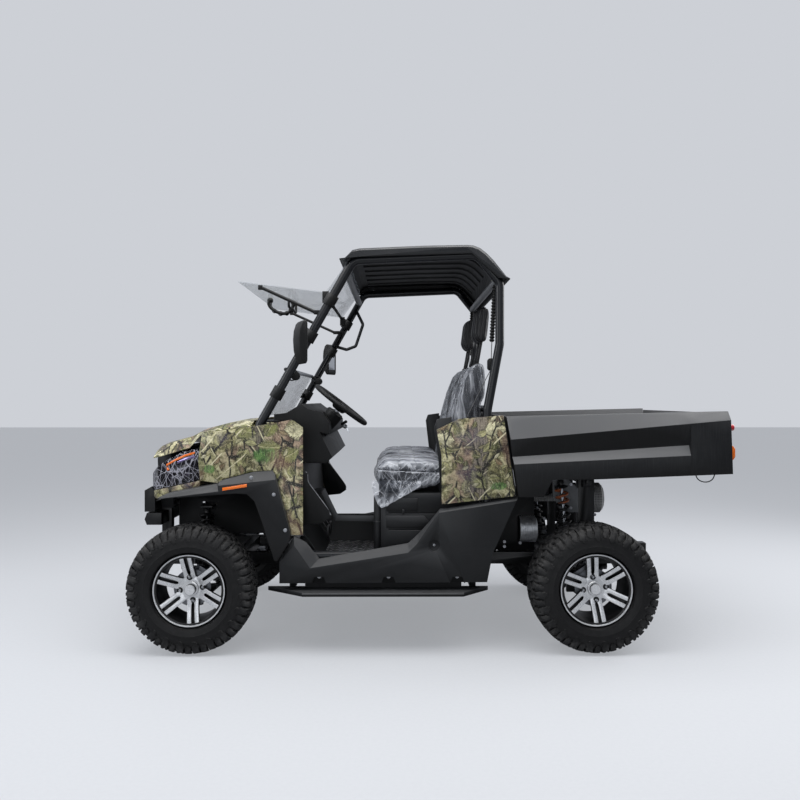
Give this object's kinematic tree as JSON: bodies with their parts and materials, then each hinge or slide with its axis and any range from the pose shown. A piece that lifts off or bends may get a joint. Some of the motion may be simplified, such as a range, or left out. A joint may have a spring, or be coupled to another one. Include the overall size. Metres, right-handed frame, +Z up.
{
  "type": "side by side utv",
  "caption": "Two-seat off-road utility vehicle with a roll cage, roof, flip-up windshield, tilting cargo bed, lugged tyres and alloy wheels.",
  "frame": {"origin": "on the ground under the centre of the bounding box", "axes": "+X forward, +Y to the vehicle's left, +Z up"},
  "size_m": [2.8639, 1.6926, 1.9239],
  "materials": {
    "camo": null,
    "black_plastic": null,
    "frame_paint": null,
    "tyre": null,
    "alloy": null,
    "steel": null,
    "glass": null,
    "lamp": null,
    "amber": null,
    "red": null,
    "vinyl": null,
    "belt": null,
    "spring": null,
    "cast": null
  },
  "bodies": {
    "chassis": {"rear_hubs": "cast", "front_arms": "frame_paint", "rear_arms": "frame_paint", "shocks": "spring", "drive_shafts": "steel", "frame": "frame_paint", "roll_cage": "frame_paint", "roof_panel": "black_plastic", "windshield": "glass", "windshield_fittings": "black_plastic", "front_side_panels": "camo", "fender_flares": "black_plastic", "inner_fenders": "black_plastic", "headlamps": "lamp", "nose_panel": "black_plastic", "front_bumper": "black_plastic", "marker_lamps": "amber", "floor_pan": "black_plastic", "dash": "black_plastic", "seat_base": "black_plastic", "seat_cushions": "vinyl", "seat_backs": "vinyl", "headrests": "vinyl", "seat_belts": "belt", "pedals": "steel", "side_skirts": "black_plastic", "quarter_panels": "camo", "running_boards": "black_plastic", "engine": "cast", "muffler": "steel", "mirrors": "black_plastic", "steering_rack": "cast"},
    "hood": {"hood": "camo"},
    "bed": {"bed": "black_plastic", "bed_wires": "black_plastic", "tail_lamps": "red"},
    "tailgate": {"tailgate": "black_plastic"},
    "knuckle_left": {"front_knuckle_left": "cast"},
    "knuckle_right": {"front_knuckle_right": "cast"},
    "steering_wheel": {"steering_wheel": "black_plastic"},
    "tie_rods": {"tie_rods": "steel"},
    "front_wheel_left": {"tyre_front_left": "tyre", "wheel_front_left": "alloy"},
    "front_wheel_right": {"tyre_front_right": "tyre", "wheel_front_right": "alloy"},
    "rear_wheel_left": {"tyre_rear_left": "tyre", "wheel_rear_left": "alloy"},
    "rear_wheel_right": {"tyre_rear_right": "tyre", "wheel_rear_right": "alloy"}
  },
  "joints": [
    {"name": "hood_hinge", "type": "hinge", "parent": "chassis", "child": "hood", "pos_m": [0.8485, 0, 1.074], "axis": [0, -1, 0], "range_deg": [0, 50]},
    {"name": "bed_tilt", "type": "hinge", "parent": "chassis", "child": "bed", "pos_m": [-0.8215, 0, 0.77], "axis": [0, -1, 0], "range_deg": [0, 45]},
    {"name": "tailgate_hinge", "type": "hinge", "parent": "bed", "child": "tailgate", "pos_m": [-1.3915, 0, 0.862], "axis": [0, -1, 0], "range_deg": [0, 90]},
    {"name": "steer_left", "type": "hinge", "parent": "chassis", "child": "knuckle_left", "pos_m": [1.1305, 0.515, 0.302], "axis": [0, 0, 1], "range_deg": [-30, 30]},
    {"name": "steer_right", "type": "hinge", "parent": "chassis", "child": "knuckle_right", "pos_m": [1.1305, -0.515, 0.302], "axis": [0, 0, 1], "range_deg": [-30, 30]},
    {"name": "steering_wheel_turn", "type": "hinge", "parent": "chassis", "child": "steering_wheel", "pos_m": [0.4475, 0.33, 1.165], "axis": [-0.6129, 0, 0.7902], "range_deg": [-270, 270]},
    {"name": "tie_rod_slide", "type": "slide", "parent": "chassis", "child": "tie_rods", "axis": [0, 1, 0], "range_m": [-0.09, 0.09]},
    {"name": "front_wheel_left_spin", "type": "hinge", "parent": "knuckle_left", "child": "front_wheel_left", "pos_m": [1.1305, 0.6225, 0.302], "axis": [0, 1, 0], "continuous": true},
    {"name": "rear_wheel_left_spin", "type": "hinge", "parent": "chassis", "child": "rear_wheel_left", "pos_m": [-0.7695, 0.6, 0.302], "axis": [0, 1, 0], "continuous": true},
    {"name": "front_wheel_right_spin", "type": "hinge", "parent": "knuckle_right", "child": "front_wheel_right", "pos_m": [1.1305, -0.6225, 0.302], "axis": [0, 1, 0], "continuous": true},
    {"name": "rear_wheel_right_spin", "type": "hinge", "parent": "chassis", "child": "rear_wheel_right", "pos_m": [-0.7695, -0.6, 0.302], "axis": [0, 1, 0], "continuous": true}
  ],
  "couplings": [
    {"joint": "steer_right", "follows": "steer_left", "ratio": 1},
    {"joint": "steering_wheel_turn", "follows": "steer_left", "ratio": 8},
    {"joint": "tie_rod_slide", "follows": "steer_left", "m_per_rad": -0.143}
  ]
}
